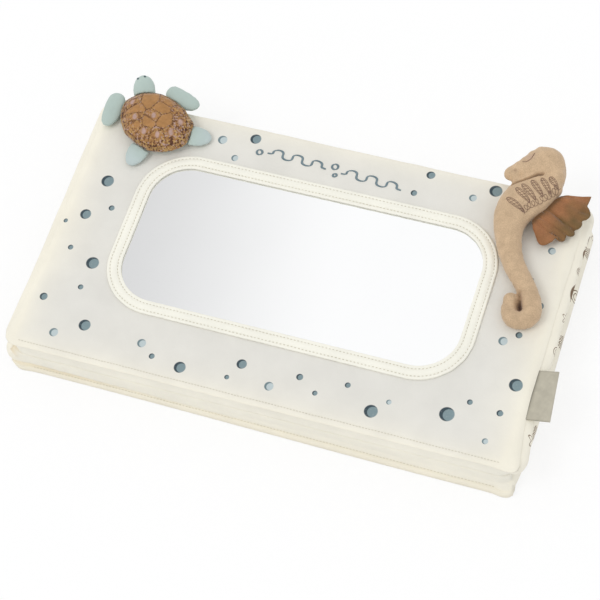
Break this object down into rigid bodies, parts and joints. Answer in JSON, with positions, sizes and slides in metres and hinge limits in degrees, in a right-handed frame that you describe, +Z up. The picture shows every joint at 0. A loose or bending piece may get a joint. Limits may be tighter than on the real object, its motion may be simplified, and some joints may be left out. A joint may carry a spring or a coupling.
{
  "type": "baby activity mirror",
  "caption": "Folding fabric floor mirror for a baby: two padded panels hinged at the back, an unbreakable mirror in a sewn trim, a stuffed turtle and a stuffed seahorse.",
  "frame": {"origin": "middle of the lower panel's flat underside, on the floor", "axes": "+X to the right along the long side, +Y towards the hinged back edge, +Z up"},
  "size_m": [0.4143, 0.2568, 0.0708],
  "materials": {
    "face_cotton": "fine cotton with a printed bubble pattern",
    "side_cotton": "fine cotton with small brown printed motifs",
    "plain_cotton": "plain cream cotton",
    "trim_cotton": "padded cream cotton with stitched edges",
    "foam": "soft polyester pad",
    "board": "thin stiffener",
    "backing": "thin felt backing",
    "mirror": "silvered acrylic",
    "woven_tape": "woven satin tape",
    "shell_velour": "short velour with embroidery",
    "sage_cotton": "soft jersey",
    "flipper_cotton": "soft jersey",
    "tan_cotton": "soft jersey with stitched ribs",
    "fin_cotton": "crinkled satin cloth",
    "squeaker_plastic": "thin moulded plastic"
  },
  "bodies": {
    "rear_panel": {"rear_cover": "side_cotton", "rear_band": "side_cotton", "rear_lining": "plain_cotton", "rear_foam": "foam", "rear_board": "board", "base_web": "plain_cotton", "hinge_spine": "side_cotton"},
    "front_panel": {"front_face": "face_cotton", "front_band": "side_cotton", "front_lining": "plain_cotton", "front_foam": "foam", "front_board": "board", "mirror_sheet": "mirror", "mirror_backing": "backing", "mirror_trim": "trim_cotton", "turtle_shell": "shell_velour", "turtle_belly": "sage_cotton", "turtle_squeaker": "squeaker_plastic", "seahorse_head": "tan_cotton", "seahorse_body": "tan_cotton", "seahorse_tail": "tan_cotton"},
    "turtle_head": {"turtle_head": "sage_cotton"},
    "flipper_front_left": {"turtle_flipper_front_left": "flipper_cotton"},
    "flipper_front_right": {"turtle_flipper_front_right": "flipper_cotton"},
    "flipper_rear_left": {"turtle_flipper_rear_left": "flipper_cotton"},
    "flipper_rear_right": {"turtle_flipper_rear_right": "flipper_cotton"},
    "seahorse_fin": {"seahorse_fin": "fin_cotton"},
    "side_tag": {"side_tag": "woven_tape"}
  },
  "joints": [
    {"name": "stand_fold", "type": "hinge", "parent": "rear_panel", "child": "front_panel", "pos_m": [0, 0.112, 0.022], "axis": [-1, 0, 0], "range_deg": [0, 32], "deforming": ["base_web", "hinge_spine"]},
    {"name": "turtle_head_flap", "type": "hinge", "parent": "front_panel", "child": "turtle_head", "pos_m": [-0.16362, 0.11413, 0.058], "axis": [0.9101, 0.4144, 0], "range_deg": [0, 20]},
    {"name": "flipper_front_left_flap", "type": "hinge", "parent": "front_panel", "child": "flipper_front_left", "pos_m": [-0.1786, 0.09847, 0.0534], "axis": [0.0094, 1, 0], "range_deg": [0, 30]},
    {"name": "flipper_front_right_flap", "type": "hinge", "parent": "front_panel", "child": "flipper_front_right", "pos_m": [-0.13763, 0.11527, 0.0534], "axis": [0.9567, -0.291, 0], "range_deg": [0, 30]},
    {"name": "flipper_rear_left_flap", "type": "hinge", "parent": "front_panel", "child": "flipper_rear_left", "pos_m": [-0.1528, 0.07042, 0.0534], "axis": [-0.9637, 0.2669, 0], "range_deg": [0, 30]},
    {"name": "flipper_rear_right_flap", "type": "hinge", "parent": "front_panel", "child": "flipper_rear_right", "pos_m": [-0.1181, 0.09115, 0.0534], "axis": [0.0941, -0.9956, 0], "range_deg": [0, 30]},
    {"name": "seahorse_fin_flap", "type": "hinge", "parent": "front_panel", "child": "seahorse_fin", "pos_m": [0.16763, 0.09753, 0.05764], "axis": [-0.4239, -0.9057, 0], "range_deg": [0, 50]},
    {"name": "side_tag_flap", "type": "hinge", "parent": "front_panel", "child": "side_tag", "pos_m": [0.19895, -0.051, 0.0414], "axis": [0, -1, 0], "range_deg": [-40, 70], "stiffness_Nm_per_rad": 0.003}
  ]
}
